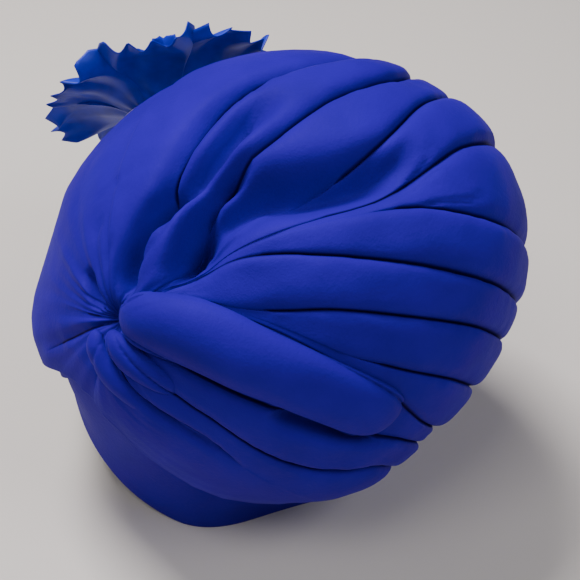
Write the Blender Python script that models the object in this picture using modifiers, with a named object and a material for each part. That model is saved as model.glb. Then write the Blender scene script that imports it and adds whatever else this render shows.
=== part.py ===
"""A blue turban hat: a smooth head band, a pleated crown gathered at the left front, and a cloth bloom.

Metres, +Z up. The wearer looks along -Y and the wearer's left is +X. The hat stands on its rim.
"""

import math

import bmesh
import bpy
import numpy as np
from mathutils import Matrix, Vector

# Cloth walls and the gap that neighbouring pieces keep
BAND_WALL = 0.0025
DRAPE_WALL = 0.0028
HEM_WALL = 0.0022
ROLL_WALL = 0.0020
TUCK_WALL = 0.0012
PETAL_WALL = 0.0010
SEAT_GAP = 0.0014

# Head band: half width and half length at the rim, and how far its brow is raised
RIM_HALF_WIDTH = 0.086
RIM_HALF_LENGTH = 0.100
RIM_SET_BACK = 0.006
BROW_RISE = 0.056
BROW_SHARPNESS = 4.5
RIM_LEVELLING = 0.0026
RIM_UPRIGHT = 0.002
NAPE_NARROWING = 0.15
BAND_OVERLAP = 0.010
BAND_LEAN_IN = 0.6
BAND_COLUMNS = 56
BAND_RINGS = 8
SQUARE_TURN = 3.0
SQUARE_RISE = 0.003

# Second layer over the brow: its columns of the band's mesh, height and stand-off
BROW_WALL = 0.0015
BROW_COLUMNS = (-9, 9)
BROW_DROP = 0.012
BROW_TIP = 0.12
BROW_ROUNDNESS = 0.7
BROW_BELOW_HEM = 0.007
BROW_STAND_OFF = 0.0024

# Crown: an egg that leans back, longest towards the upper back
EGG_CENTRE = Vector((0.0, 0.019, 0.119))
EGG_LEAN = math.radians(33.0)
EGG_HALF_WIDTH = 0.117
EGG_FRONT = 0.110
EGG_BACK = 0.147
EGG_TOP = 0.110
EGG_BOTTOM = 0.115
OUTSIDE_EGG = 0.4
HALVINGS = 24

# Pleats run as spokes from the gather, seen from a hub inside the crown
DRAPE_PIECES = [
    # name, its first pleat and the first pleat of the next piece
    ("drape_brow", "low_front", "front_1"),
    ("drape_right", "front_1", "front_3"),
    ("drape_front", "front_3", "front_valley"),
    ("drape_top", "front_valley", "crown_3"),
    ("drape_back", "crown_3", "back_3"),
    ("drape_side", "back_3", "side_2"),
    ("drape_low_side", "side_2", "low_front"),
]
DRAPE_START = 2.4
SEAM_GAP = 0.0005
BLANK_WALL = 0.1
HUB = Vector((0.0, 0.015, 0.088))
GATHER_AZIMUTH = math.radians(68.3)
GATHER_ELEVATION = math.radians(37.0)
GATHER_PIT = 0.010
GATHER_SPREAD = 4.0
DRAPE_RINGS = 16
RING_CROWDING = 0.85
TURN_RINGS = 4
TURN_FULLNESS = 0.45
PLEAT_HEIGHT = 0.010
PLEAT_HEIGHT_TO_WIDTH = 0.30
PLEAT_SINK = 0.45
PLEAT_SQUARENESS = 2.2
PLEAT_STEEPNESS = 0.62
CREASE_START = 20.0
WIDEST = 150.0
CROWN_RADIUS = 0.13
HEM_ROLL = 0.004
NEAREST_HEM = 3.0
FARTHEST_HEM = 172.0
HEM_HALVINGS = 8

# Turn of each seam about the gather, in degrees, at these distances from it in degrees
STATIONS = (0.0, 14.0, 28.0, 45.0, 75.0, 110.0, 160.0)
SEAMS = [
    # name, turn at each station, depth in mm, distance where it opens, fullness and columns of its pleat
    ("low_front", (-172, -172, -172, -170, -168, -165, -165), 1.0, 0, 0.8, 5),
    ("brow", (-130, -130, -130, -132, -134, -134, -132), 2.5, 0, 0.8, 7),
    ("front_1", (-104, -104, -104, -106, -108, -106, -102), 1.2, 0, 0.6, 4),
    ("front_2", (-78, -78, -78, -80, -82, -80, -76), 1.2, 0, 0.6, 4),
    ("front_3", (-46, -50, -52, -54, -55, -54, -50), 1.8, 8, 0.8, 4),
    ("front_4", (-20, -26, -28, -28, -26, -26, -26), 1.5, 10, 0.9, 4),
    ("front_valley", (8, 6, -1, -3, 2, 2, -4), 6.0, 0, 1.3, 5),
    ("crown_1", (20, 22, 20, 18, 16, 14, 14), 4.0, 0, 1.1, 4),
    ("crown_2", (28, 30, 29, 31, 25, 20, 28), 4.0, 30, 1.3, 4),
    ("crown_3", (36, 37, 36, 39, 36, 31, 42), 3.5, 46, 1.1, 4),
    ("back_valley", (44, 42, 42, 44, 50, 56, 64), 4.0, 30, 1.1, 4),
    ("back_2", (52, 48, 49, 52, 59, 64, 76), 2.5, 18, 1.0, 4),
    ("back_3", (60, 54, 57, 62, 67, 73, 87), 2.5, 26, 1.0, 4),
    ("back_4", (68, 60, 64, 71, 78, 85, 99), 2.5, 46, 1.0, 4),
    ("side_1", (78, 68, 71, 78, 89, 97, 111), 4.0, 0, 1.0, 5),
    ("side_2", (96, 98, 98, 96, 95, 104, 122), 4.0, 0, 1.0, 4),
    ("side_3", (127, 128, 114, 109, 106, 115, 136), 3.0, 0, 1.0, 4),
    ("side_4", (154, 147, 124, 120, 116, 131, 150), 3.0, 0, 1.0, 6),
]
OPENING_LENGTH = 10.0
FLAT_PLEAT = "side_1"
FLAT_LENGTH = 70.0

# The crown's great trough, between the knot and the top
TROUGH = [
    # turn, distance from the gather in degrees
    (36, 18),
    (28, 27),
    (27, 34),
    (32, 44),
    (37, 56),
]
TROUGH_HALF_WIDTH = 0.0085
TROUGH_DEPTH = 0.0060
TROUGH_STEPS = 12

# Height of the drape's hem, by azimuth from the front towards the wearer's left
HEM = [
    # azimuth in degrees, height in m, how far the band lies inside the crown's egg in m
    (-180, 0.066, 0.012),
    (-140, 0.064, 0.012),
    (-90, 0.058, 0.012),
    (-40, 0.062, 0.013),
    (0, 0.073, 0.014),
    (31, 0.086, 0.010),
    (47, 0.104, 0.009),
    (64, 0.120, 0.010),
    (74, 0.113, 0.011),
    (82, 0.101, 0.012),
    (92, 0.085, 0.012),
    (102, 0.067, 0.012),
    (120, 0.048, 0.012),
    (137, 0.053, 0.012),
    (150, 0.066, 0.012),
    (180, 0.066, 0.012),
]

# Local swellings of the crown beyond the egg
SWELLS = [
    # name, azimuth in degrees, height in m, spread in degrees, spread in m, size in m
    ("brow_corner", 40, 0.108, 22, 0.030, 0.009),
    ("brow", -20, 0.062, 48, 0.042, 0.024),
    ("nape_side", 138, 0.068, 18, 0.022, 0.007),
]

# The widest pleat, a separate roll over the gather
ROLL = [
    # distance from the gather in degrees, turn in degrees, half width in m, height in m
    (2.0, 60, 0.0060, 0.0050),
    (5.0, 66, 0.0120, 0.0100),
    (12.0, 75, 0.0155, 0.0125),
    (22.0, 77, 0.0165, 0.0130),
    (34.0, 81, 0.0168, 0.0125),
    (46.0, 85, 0.0168, 0.0115),
    (55.0, 87, 0.0150, 0.0095),
    (63.0, 88, 0.0100, 0.0060),
]
ROLL_CLEARANCE = 0.0026
ROLL_STEPS = 16
ROLL_SIDES = 8
ROLL_END = 12.0
LOOK_AHEAD = 0.02

# Small folded tips below the roll's head
TUCKS = [
    # name, turn, start and end distance from the gather in degrees, half width and height in m
    ("knot_tuck_upper", 138, 4.0, 13.0, 0.0060, 0.0050),
    ("knot_tuck_lower", -158, 3.0, 11.0, 0.0048, 0.0042),
]
TUCK_WIDTHS = (0.25, 0.76, 0.97, 0.98, 0.94)
TUCK_CLEARANCE = 0.0020
TUCK_STEPS = 6
TUCK_SIDES = 4
TUCK_END = 6.0

# Bloom: where it sits on the crown, and its rings of petals
FLOWER_AZIMUTH = math.radians(-51.0)
FLOWER_ELEVATION = math.radians(28.0)
BLOOM_AXIS_AZIMUTH = math.radians(-57.0)
BLOOM_AXIS_ELEVATION = math.radians(33.0)
FLOWER_STAND_OFF = 0.0112
BACKING_RADIUS = 0.030
BACKING_THICKNESS = 0.0020
PETAL_SEAT = 0.0004
PETAL_RINGS = [
    # name, petals, root radius, length and half width in m, opening from the axis in degrees
    ("outer_petal", 7, 0.0190, 0.054, 0.0340, 78),
    ("middle_petal", 6, 0.0125, 0.038, 0.0250, 56),
    ("inner_petal", 5, 0.0075, 0.027, 0.0145, 32),
]
QUARTERS = (0.0, 0.25, 0.5, 0.75, 1.0)
PETAL_WIDTHS = (0.22, 0.63, 0.88, 0.90, 0.68)
PETAL_CELLS = 4
PETAL_POINT = 0.10
PETAL_ROUNDING = 0.05
PETAL_CURL_START = 0.55
PETAL_CUP = 0.010
PETAL_SHARE_OF_ROUND = 0.94
BACKING_SIDES = 28
CENTRE_RADIUS = 0.0045
CENTRE_SEAT = 0.0004

COLOURS = {
    # base colour, roughness
    "turban_cloth": ((0.010, 0.016, 0.260, 1.0), 0.62),
    "roll_cloth": ((0.012, 0.020, 0.290, 1.0), 0.60),
    "petal_cloth": ((0.004, 0.028, 0.220, 1.0), 0.45),
    "backing_felt": ((0.650, 0.660, 0.680, 1.0), 0.80),
}


def clear_scene():
    for item in list(bpy.data.objects):
        bpy.data.objects.remove(item, do_unlink=True)


def make_material(name, look):
    colour, roughness = COLOURS[look]
    material = bpy.data.materials.new(name)
    material.use_nodes = True
    shader = material.node_tree.nodes["Principled BSDF"]
    shader.inputs["Base Color"].default_value = colour
    shader.inputs["Roughness"].default_value = roughness
    shader.inputs["Metallic"].default_value = 0.0
    return material


def add_object(name, mesh_builder, look, collection, parent, wall=0.0):
    """Wraps a bmesh as a named, shaded object, with a cloth wall laid inwards where one is asked for."""
    mesh = bpy.data.meshes.new(name)
    mesh_builder.to_mesh(mesh)
    mesh_builder.free()
    mesh.shade_smooth()
    item = bpy.data.objects.new(name, mesh)
    item.data.materials.append(make_material(name + "_cloth", look))
    item.parent = parent
    collection.objects.link(item)
    if wall > 0.0:
        solid = item.modifiers.new("cloth_wall", "SOLIDIFY")
        solid.thickness = wall
        solid.offset = -1.0
        solid.use_even_offset = False
    return item


def smooth_curve(stations, values, x):
    """Reads a smooth curve through a short table."""
    x = min(max(x, stations[0]), stations[-1])
    last = len(stations) - 2
    i = min(max(int(np.searchsorted(stations, x)) - 1, 0), last)
    width = stations[i + 1] - stations[i]
    t = (x - stations[i]) / width

    def slope(j):
        low, high = max(j - 1, 0), min(j + 1, last + 1)
        return (values[high] - values[low]) / (stations[high] - stations[low])

    a = values[i] * (2 * t**3 - 3 * t**2 + 1) + values[i + 1] * (3 * t**2 - 2 * t**3)
    b = slope(i) * (t**3 - 2 * t**2 + t) + slope(i + 1) * (t**3 - t**2)
    return a + b * width


def round_table(column, azimuth):
    """Reads a column of the hem table, which closes on itself."""
    turns = [row[0] for row in HEM]
    values = [row[column] for row in HEM]
    wrapped = (azimuth + 180.0) % 360.0 - 180.0
    return smooth_curve(turns, values, wrapped)


def hem_height(azimuth):
    return round_table(1, azimuth)


def rim_height(azimuth):
    """The rim is level from ear to ear round the back, and rises to the brow."""
    front = max((math.cos(math.radians(azimuth)) + 1.0) / 2.0, 0.0)
    return max(BROW_RISE * front**BROW_SHARPNESS - RIM_LEVELLING, 0.0)


def rim_radius(side):
    """Distance from the upright axis to the rim, an ellipse set back a little and drawn in at the nape."""
    width, length = RIM_HALF_WIDTH, RIM_HALF_LENGTH
    a = (side.x / width) ** 2 + (side.y / length) ** 2
    b = side.y * RIM_SET_BACK / length**2
    c = 1.0 - (RIM_SET_BACK / length) ** 2
    plain = (b + math.sqrt(b * b + a * c)) / a
    drawn = (2.0 * side.x * side.y) ** 2 if side.y > 0.0 else 0.0
    return plain * (1.0 - NAPE_NARROWING * drawn)


def azimuth_of(point):
    return math.degrees(math.atan2(point.x, -point.y))


def egg_level(point):
    """1 on the crown's egg, less inside it and more outside."""
    arm = point - EGG_CENTRE
    back = arm.y * math.cos(EGG_LEAN) + arm.z * math.sin(EGG_LEAN)
    rise = arm.z * math.cos(EGG_LEAN) - arm.y * math.sin(EGG_LEAN)
    length = EGG_BACK if back > 0.0 else EGG_FRONT
    height = EGG_TOP if rise > 0.0 else EGG_BOTTOM
    return math.sqrt((arm.x / EGG_HALF_WIDTH) ** 2 + (back / length) ** 2 + (rise / height) ** 2)


def reach(start, direction):
    """Distance along a ray from inside the egg to its surface."""
    near, far = 0.0, OUTSIDE_EGG
    for _ in range(HALVINGS):
        middle = (near + far) / 2.0
        if egg_level(start + direction * middle) < 1.0:
            near = middle
        else:
            far = middle
    return near


def swell(point):
    """How far the local swellings push the crown out at a point."""
    total = 0.0
    for _, azimuth, height, spread, tall, size in SWELLS:
        turn = (azimuth_of(point) - azimuth + 180.0) % 360.0 - 180.0
        total += size * math.exp(-((turn / spread) ** 2) - ((point.z - height) / tall) ** 2)
    return total


def compass(azimuth, elevation):
    """A direction by its azimuth from the front and its elevation."""
    flat = math.cos(elevation)
    return Vector((flat * math.sin(azimuth), -flat * math.cos(azimuth), math.sin(elevation)))


def gather_frame():
    """Axis from the hub to the gather, with the directions of turn 0 and turn 90."""
    axis = compass(GATHER_AZIMUTH, GATHER_ELEVATION)
    up = (Vector((0.0, 0.0, 1.0)) - axis * axis.z).normalized()
    return axis, up, up.cross(axis)


AXIS, TURN_UP, TURN_BACK = gather_frame()


def spoke_direction(turn, distance):
    turn, distance = math.radians(turn), math.radians(distance)
    side = TURN_UP * math.cos(turn) + TURN_BACK * math.sin(turn)
    return AXIS * math.cos(distance) + side * math.sin(distance)


def crown_point(turn, distance, lift=0.0):
    """A point on the smooth crown, or lifted off it, by its place on a spoke."""
    direction = spoke_direction(turn, distance)
    point = HUB + direction * reach(HUB, direction)
    return point + direction * (swell(point) + lift)


def seam_turn(index, distance):
    """Turn of a seam at a distance; an index past the last seam is the first, one round further."""
    laps, row = divmod(index, len(SEAMS))
    return smooth_curve(STATIONS, SEAMS[row][1], distance) + 360.0 * laps


def openness(row, distance):
    """0 where a seam's crease hasn't opened yet, 1 where it is full."""
    part = (distance - SEAMS[row][3]) / OPENING_LENGTH + 0.5
    part = min(max(part, 0.0), 1.0) if SEAMS[row][3] > 0 else 1.0
    return part * part * (3.0 - 2.0 * part)


def circle_radius(distance):
    """Radius of the circle about the gather's axis at a distance; it stays wide enough near the far pole."""
    return CROWN_RADIUS * math.sin(math.radians(min(distance, WIDEST)))


def pleat_lift(row, share, distance):
    """Height of a pleat above the smooth crown, at a share of its width."""
    width = math.radians(seam_turn(row + 1, distance) - seam_turn(row, distance))
    width *= circle_radius(distance)
    height = min(PLEAT_HEIGHT, PLEAT_HEIGHT_TO_WIDTH * abs(width)) * SEAMS[row][4]
    near = row if share < 0.5 else (row + 1) % len(SEAMS)
    depth = SEAMS[near][2] * 0.001 * min(1.0, distance / CREASE_START)
    if SEAMS[row][0] == FLAT_PLEAT and distance < FLAT_LENGTH:
        height = 0.0
    puff = (1.0 - abs(2.0 * share - 1.0) ** PLEAT_SQUARENESS) ** PLEAT_STEEPNESS
    fall = (1.0 - puff) * openness(near, distance)
    return height * (1.0 - fall - PLEAT_SINK) - depth * fall**2


def lift_at(turn, distance):
    """Height of the pleated crown at any turn, found by the seams on either side."""
    for row in range(len(SEAMS)):
        low, high = seam_turn(row, distance), seam_turn(row + 1, distance)
        inside = (turn - low) % 360.0
        if inside <= high - low:
            return pleat_lift(row, inside / (high - low), distance)
    return 0.0


def column_turn(row, share, distance):
    low, high = seam_turn(row, distance), seam_turn(row + 1, distance)
    return low + (high - low) * share


def hem_distance(row, share):
    """Distance along a column at which the crown has come down to its hem."""
    near, far = NEAREST_HEM, FARTHEST_HEM
    for step in np.arange(NEAREST_HEM, FARTHEST_HEM, 1.0):
        point = crown_point(column_turn(row, share, step), step)
        if point.z < hem_height(azimuth_of(point)) + HEM_ROLL:
            far = step
            break
        near = step
    for _ in range(HEM_HALVINGS):
        middle = (near + far) / 2.0
        point = crown_point(column_turn(row, share, middle), middle)
        if point.z < hem_height(azimuth_of(point)) + HEM_ROLL:
            far = middle
        else:
            near = middle
    return near


def band_surface(azimuth, height):
    """A point on the head band, which widens from the rim to just inside the crown."""
    turn = math.radians(azimuth)
    side = Vector((math.sin(turn), -math.cos(turn), 0.0))
    rim = rim_radius(side)
    hem, low = hem_height(azimuth), rim_height(azimuth)
    foot = Vector((0.0, 0.0, hem))
    egg = reach(foot, side)
    top = max(egg + swell(foot + side * egg) - round_table(2, azimuth), rim)
    share = min(max((height - low - RIM_UPRIGHT) / (hem - low), 0.0), 1.0)
    radius = rim + (top - rim) * (1.0 - math.cos(share * math.pi)) / 2.0
    radius -= BAND_LEAN_IN * max(height - hem, 0.0)
    return side * radius + Vector((0.0, 0.0, height))


def band_point(azimuth, height, outside=0.0):
    """A point on the head band, or a little way off it, square to its surface."""
    point = band_surface(azimuth, height)
    if outside == 0.0:
        return point
    along = band_surface(azimuth + SQUARE_TURN, height) - band_surface(azimuth - SQUARE_TURN, height)
    up = band_surface(azimuth, height + SQUARE_RISE) - band_surface(azimuth, height - SQUARE_RISE)
    return point + along.cross(up).normalized() * outside


def bezier(a, b, c, d, t):
    s = 1.0 - t
    return a * s**3 + b * (3.0 * s * s * t) + c * (3.0 * s * t * t) + d * t**3


def polar_grid(columns, rings):
    """A flat disc of rings and columns about a pole, spun from one spoke."""
    sheet = bmesh.new()
    spoke = [sheet.verts.new((ring + 1.0, 0.0, 0.0)) for ring in range(rings)]
    edges = [sheet.edges.new(pair) for pair in zip(spoke, spoke[1:])]
    bmesh.ops.spin(
        sheet, geom=spoke + edges, cent=(0, 0, 0), axis=(0, 0, 1),
        angle=2.0 * math.pi, steps=columns, use_merge=True,
    )
    bmesh.ops.remove_doubles(sheet, verts=sheet.verts, dist=0.001)
    return sheet


def grid_place(vert, columns):
    ring = round(vert.co.xy.length) - 1
    column = round(math.atan2(vert.co.y, vert.co.x) / (2.0 * math.pi) * columns) % columns
    return ring, column


def trough_line():
    """Points along the bottom of the great trough, on the smooth crown, with the depth at each."""
    knots = list(range(len(TROUGH)))
    line = []
    for step in range(TROUGH_STEPS + 1):
        share = step / TROUGH_STEPS
        turn, distance = (
            smooth_curve(knots, [row[i] for row in TROUGH], share * knots[-1]) for i in (0, 1)
        )
        line.append((crown_point(turn, distance), TROUGH_DEPTH * math.sin(math.pi * share) ** 0.5))
    return line


def trough_at(point, line):
    """How deep the trough is at a point on the smooth crown."""
    away, depth = min(((point - place).length, depth) for place, depth in line)
    return depth * math.exp(-((away / TROUGH_HALF_WIDTH) ** 2))


def drape_spoke(row, share, shift, trough):
    """One column of a drape piece: its wall's outer and inner points, out over the crown to the hem."""
    end = hem_distance(row, share)
    outer, inner = [], []
    for ring in range(DRAPE_RINGS):
        distance = DRAPE_START + (end - DRAPE_START) * (ring / (DRAPE_RINGS - 1.0)) ** RING_CROWDING
        turn = column_turn(row, share, distance)
        turn += math.degrees(shift / circle_radius(distance))
        lift = pleat_lift(row, share, distance)
        lift -= GATHER_PIT * math.exp(-((distance / GATHER_SPREAD) ** 2))
        lift -= trough_at(crown_point(turn, distance), trough)
        outer.append(crown_point(turn, distance, lift))
        inner.append(crown_point(turn, distance, lift - DRAPE_WALL))
    azimuth = azimuth_of(outer[-1])
    hem = hem_height(azimuth)
    outer += turn_under(outer, band_point(azimuth, hem, SEAT_GAP))
    inner += turn_under(inner, band_point(azimuth, hem + HEM_WALL, SEAT_GAP))
    return outer, inner


def turn_under(spoke, seat):
    """The last rings of a column, from the crown round to its seat on the band."""
    last = spoke[-1]
    outward = (last - HUB).normalized()
    leave = (outward * outward.z - Vector((0.0, 0.0, 1.0))).normalized()
    out = Vector((seat.x, seat.y, 0.0)).normalized()
    span = (last - seat).length * TURN_FULLNESS
    steps = [ring / TURN_RINGS for ring in range(1, TURN_RINGS + 1)]
    return [bezier(last, last + leave * span, seat + out * span, seat, part) for part in steps]


def pleats_between(first, stop):
    """The rows of the pleats from one named seam to another, which may lie past the last."""
    names = [seam[0] for seam in SEAMS]
    start = names.index(first)
    count = (names.index(stop) - start) % len(names)
    return [(start + step) % len(names) for step in range(count)]


def build_drape_piece(first, stop):
    """A strip of pleats from the gather to the hem, clear of the strips beside it by the seam's gap."""
    places = []
    for row in pleats_between(first, stop):
        places += [(row, step / SEAMS[row][5]) for step in range(SEAMS[row][5])]
    places.append((row, 1.0))
    shifts = [SEAM_GAP / 2.0] + [0.0] * (len(places) - 2) + [-SEAM_GAP / 2.0]
    trough = trough_line()
    spokes = [drape_spoke(*place, shift, trough) for place, shift in zip(places, shifts)]
    across, along = len(places) - 1, DRAPE_RINGS + TURN_RINGS - 1
    sheet = sheet_grid(across, along)
    bmesh.ops.solidify(sheet, geom=sheet.faces, thickness=BLANK_WALL)
    for vert in sheet.verts:
        inside = abs(vert.co.z) > BLANK_WALL / 2.0
        vert.co = spokes[round(vert.co.x * across)][inside][round(vert.co.y * along)]
    sheet.normal_update()
    if sheet.calc_volume(signed=True) < 0.0:
        bmesh.ops.reverse_faces(sheet, faces=sheet.faces)
    return sheet


def face_outwards(sheet):
    """Turns an open sheet so that its faces look away from the hub."""
    sheet.normal_update()
    balance = sum(face.normal.dot(face.calc_center_median() - HUB) for face in sheet.faces)
    if balance < 0.0:
        bmesh.ops.reverse_faces(sheet, faces=sheet.faces)
    sheet.normal_update()


def build_base_band():
    sheet = polar_grid(BAND_COLUMNS, BAND_RINGS)
    for vert in sheet.verts:
        ring, column = grid_place(vert, BAND_COLUMNS)
        azimuth = 360.0 * column / BAND_COLUMNS
        low, high = rim_height(azimuth) + RIM_UPRIGHT, hem_height(azimuth) + BAND_OVERLAP
        height = low + (high - low) * (ring - 1.0) / (BAND_RINGS - 2.0)
        vert.co = band_point(azimuth, height if ring > 0 else low - RIM_UPRIGHT)
    face_outwards(sheet)
    return sheet


def sheet_grid(across, along):
    """A flat open grid; its x and y run from 0 to 1."""
    sheet = bmesh.new()
    bmesh.ops.create_grid(sheet, x_segments=across, y_segments=along, size=0.5)
    bmesh.ops.translate(sheet, verts=sheet.verts, vec=(0.5, 0.5, 0.0))
    return sheet


def build_brow_band():
    """A second layer over the brow, narrowing to a point where it goes under the drape."""
    first, last = BROW_COLUMNS
    sheet = sheet_grid(last - first, 3)
    for vert in sheet.verts:
        azimuth = 360.0 * (first + (last - first) * vert.co.x) / BAND_COLUMNS
        roundness = max(math.sin(math.pi * vert.co.x), 0.0) ** BROW_ROUNDNESS
        drop = BROW_DROP * (BROW_TIP + (1.0 - BROW_TIP) * roundness)
        height = hem_height(azimuth) - BROW_BELOW_HEM - drop * (1.0 - vert.co.y)
        vert.co = band_point(azimuth, height, BROW_STAND_OFF)
    face_outwards(sheet)
    return sheet


def puffed_strip(centre_line, along, across, end_round, gap):
    """A puffed strip over the drape. centre_line gives turn, distance, half width and height by share."""
    sheet = sheet_grid(across, along)
    for vert in sheet.verts:
        part, side = vert.co.y, 2.0 * vert.co.x - 1.0
        turn, distance, half_width, height = centre_line(part)
        middle = crown_point(turn, distance)
        ahead = crown_point(*centre_line(min(part + LOOK_AHEAD, 1.0))[:2])
        behind = crown_point(*centre_line(max(part - LOOK_AHEAD, 0.0))[:2])
        out = (middle - HUB).normalized()
        cross = (ahead - behind).cross(out).normalized()
        ends = math.sqrt(max(1.0 - abs(2.0 * part - 1.0) ** end_round, 0.0))
        swing = math.sin(side * math.pi / 2.0)
        aim = (middle + cross * (half_width * swing) - HUB).normalized()
        base = HUB + aim * reach(HUB, aim)
        base += aim * (swell(base) + pleats_under(aim) + gap)
        vert.co = base + aim * (height * ends * math.cos(side * math.pi / 2.0))
    face_outwards(sheet)
    return sheet


def pleats_under(direction):
    """Height of the pleats under a piece laid over the drape."""
    distance = math.degrees(math.acos(min(max(direction.dot(AXIS), -1.0), 1.0)))
    turn = math.degrees(math.atan2(direction.dot(TURN_BACK), direction.dot(TURN_UP)))
    return lift_at(turn, distance)


def build_side_roll():
    distances = [row[0] for row in ROLL]

    def centre_line(part):
        distance = distances[0] + (distances[-1] - distances[0]) * part
        turn, half_width, height = (
            smooth_curve(distances, [row[i] for row in ROLL], distance) for i in (1, 2, 3)
        )
        return turn, distance, half_width, height

    return puffed_strip(centre_line, ROLL_STEPS, ROLL_SIDES, ROLL_END, ROLL_CLEARANCE)


def build_tuck(turn, start, end, half_width, height):
    def centre_line(part):
        wide = half_width * smooth_curve(QUARTERS, TUCK_WIDTHS, part)
        return turn, start + (end - start) * part, wide, height

    return puffed_strip(centre_line, TUCK_STEPS, TUCK_SIDES, TUCK_END, TUCK_CLEARANCE)


def flower_matrix():
    """Places the bloom on the crown's right front, leaning a little outwards."""
    direction = compass(FLOWER_AZIMUTH, FLOWER_ELEVATION)
    point = HUB + direction * (reach(HUB, direction) + FLOWER_STAND_OFF)
    axis = compass(BLOOM_AXIS_AZIMUTH, BLOOM_AXIS_ELEVATION)
    turn = axis.to_track_quat("Z", "Y").to_matrix().to_4x4()
    return Matrix.Translation(point) @ turn


def build_backing():
    disc = bmesh.new()
    bmesh.ops.create_cone(
        disc, cap_ends=True, segments=BACKING_SIDES, radius1=BACKING_RADIUS, radius2=BACKING_RADIUS,
        depth=BACKING_THICKNESS, matrix=Matrix.Translation((0.0, 0.0, BACKING_THICKNESS / 2.0)),
    )
    bmesh.ops.transform(disc, matrix=flower_matrix(), verts=disc.verts)
    return disc


def build_petal(count, index, root, length, half_width, opening):
    """A cupped petal with a pointed edge, leaning out from the bloom's axis."""
    sheet = sheet_grid(PETAL_CELLS, PETAL_CELLS)
    turn = 2.0 * math.pi * (index + 0.5 * (count % 2)) / count
    lean = math.radians(opening)
    foot = BACKING_THICKNESS + PETAL_SEAT
    for vert in sheet.verts:
        side, part = 2.0 * vert.co.x - 1.0, vert.co.y
        wide = half_width * smooth_curve(QUARTERS, PETAL_WIDTHS, part)
        point_up = PETAL_POINT * (1.0 - abs(side)) if part > 1.0 - 0.5 / PETAL_CELLS else 0.0
        run = length * (part + point_up - PETAL_ROUNDING * abs(side) * part)
        curl = lean * (PETAL_CURL_START + (1.0 - PETAL_CURL_START) * part)
        radius = root + run * math.sin(curl)
        rise = foot + run * math.cos(curl) + PETAL_CUP * side**2 * part
        limit = PETAL_SHARE_OF_ROUND * math.pi / count
        arc = max(min(side * wide / radius, limit), -limit)
        vert.co = Vector((radius * math.cos(turn + arc), radius * math.sin(turn + arc), rise))
    sheet.normal_update()
    if sum(face.normal.z for face in sheet.faces) > 0.0:
        bmesh.ops.reverse_faces(sheet, faces=sheet.faces)
    bmesh.ops.transform(sheet, matrix=flower_matrix(), verts=sheet.verts)
    return sheet


def build_centre():
    ball = bmesh.new()
    middle = Matrix.Translation((0.0, 0.0, BACKING_THICKNESS + CENTRE_SEAT + CENTRE_RADIUS))
    bmesh.ops.create_icosphere(ball, subdivisions=2, radius=CENTRE_RADIUS, matrix=middle)
    bmesh.ops.transform(ball, matrix=flower_matrix(), verts=ball.verts)
    return ball


def stand_at_origin(anchor, collection):
    """Moves the whole hat so that its box stands centred on the origin."""
    bpy.context.view_layer.update()
    graph = bpy.context.evaluated_depsgraph_get()
    corners = []
    for item in collection.objects:
        if item.type == "MESH":
            solid = item.evaluated_get(graph)
            corners += [solid.matrix_world @ Vector(corner) for corner in solid.bound_box]
    low = Vector([min(corner[i] for corner in corners) for i in range(3)])
    high = Vector([max(corner[i] for corner in corners) for i in range(3)])
    middle = (low + high) / 2.0
    anchor.location = (-middle.x, -middle.y, -low.z)
    bpy.context.view_layer.update()


def main():
    clear_scene()
    collection = bpy.data.collections.new("turban_hat")
    bpy.context.scene.collection.children.link(collection)
    anchor = bpy.data.objects.new("hat_anchor", None)
    collection.objects.link(anchor)
    group = (collection, anchor)
    add_object("base_band", build_base_band(), "turban_cloth", *group, wall=BAND_WALL)
    add_object("brow_band", build_brow_band(), "turban_cloth", *group, wall=BROW_WALL)
    for name, first, stop in DRAPE_PIECES:
        add_object(name, build_drape_piece(first, stop), "turban_cloth", *group)
    add_object("side_roll", build_side_roll(), "roll_cloth", *group, wall=ROLL_WALL)
    for name, *sizes in TUCKS:
        add_object(name, build_tuck(*sizes), "roll_cloth", *group, wall=TUCK_WALL)
    add_object("flower_backing", build_backing(), "backing_felt", *group)
    for name, count, *sizes in PETAL_RINGS:
        for index in range(count):
            petal = build_petal(count, index, *sizes)
            add_object(f"{name}_{index + 1}", petal, "petal_cloth", *group, wall=PETAL_WALL)
    add_object("flower_centre", build_centre(), "petal_cloth", *group)
    stand_at_origin(anchor, collection)


main()
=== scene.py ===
"""A royal blue turban hat in knit cloth, standing on its rim, with a satin bloom on its right side."""

import math

import bmesh
import bpy
import numpy as np
from mathutils import Matrix, Vector, noise


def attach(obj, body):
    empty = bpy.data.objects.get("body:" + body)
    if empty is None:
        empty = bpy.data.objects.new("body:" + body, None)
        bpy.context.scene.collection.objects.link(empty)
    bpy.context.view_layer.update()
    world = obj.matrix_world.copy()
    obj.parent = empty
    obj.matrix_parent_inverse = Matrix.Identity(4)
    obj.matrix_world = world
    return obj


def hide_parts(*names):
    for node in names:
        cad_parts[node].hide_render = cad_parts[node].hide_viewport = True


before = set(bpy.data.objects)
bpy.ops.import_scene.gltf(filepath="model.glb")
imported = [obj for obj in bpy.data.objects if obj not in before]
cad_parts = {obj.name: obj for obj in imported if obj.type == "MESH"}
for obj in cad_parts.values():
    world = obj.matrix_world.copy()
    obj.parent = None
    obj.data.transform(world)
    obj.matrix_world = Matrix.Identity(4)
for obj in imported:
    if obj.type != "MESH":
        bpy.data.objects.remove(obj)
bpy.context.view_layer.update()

# Head band
# A wide tube of double knit cloth cut to the head, level over the ears and nape and raised at the
# brow. Its lower edge is folded in, and its upper edge is sewn inside the pleated crown.
RIM_HALF_WIDTH = 0.086
RIM_HALF_LENGTH = 0.100
RIM_SET_BACK = 0.006
BROW_RISE = 0.056
BROW_SHARPNESS = 4.5
RIM_LEVELLING = 0.0026
NAPE_NARROWING = 0.15
BAND_WALL = 0.0024
BAND_OVERLAP = 0.012
BAND_TOP_DRAW = 0.6
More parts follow.
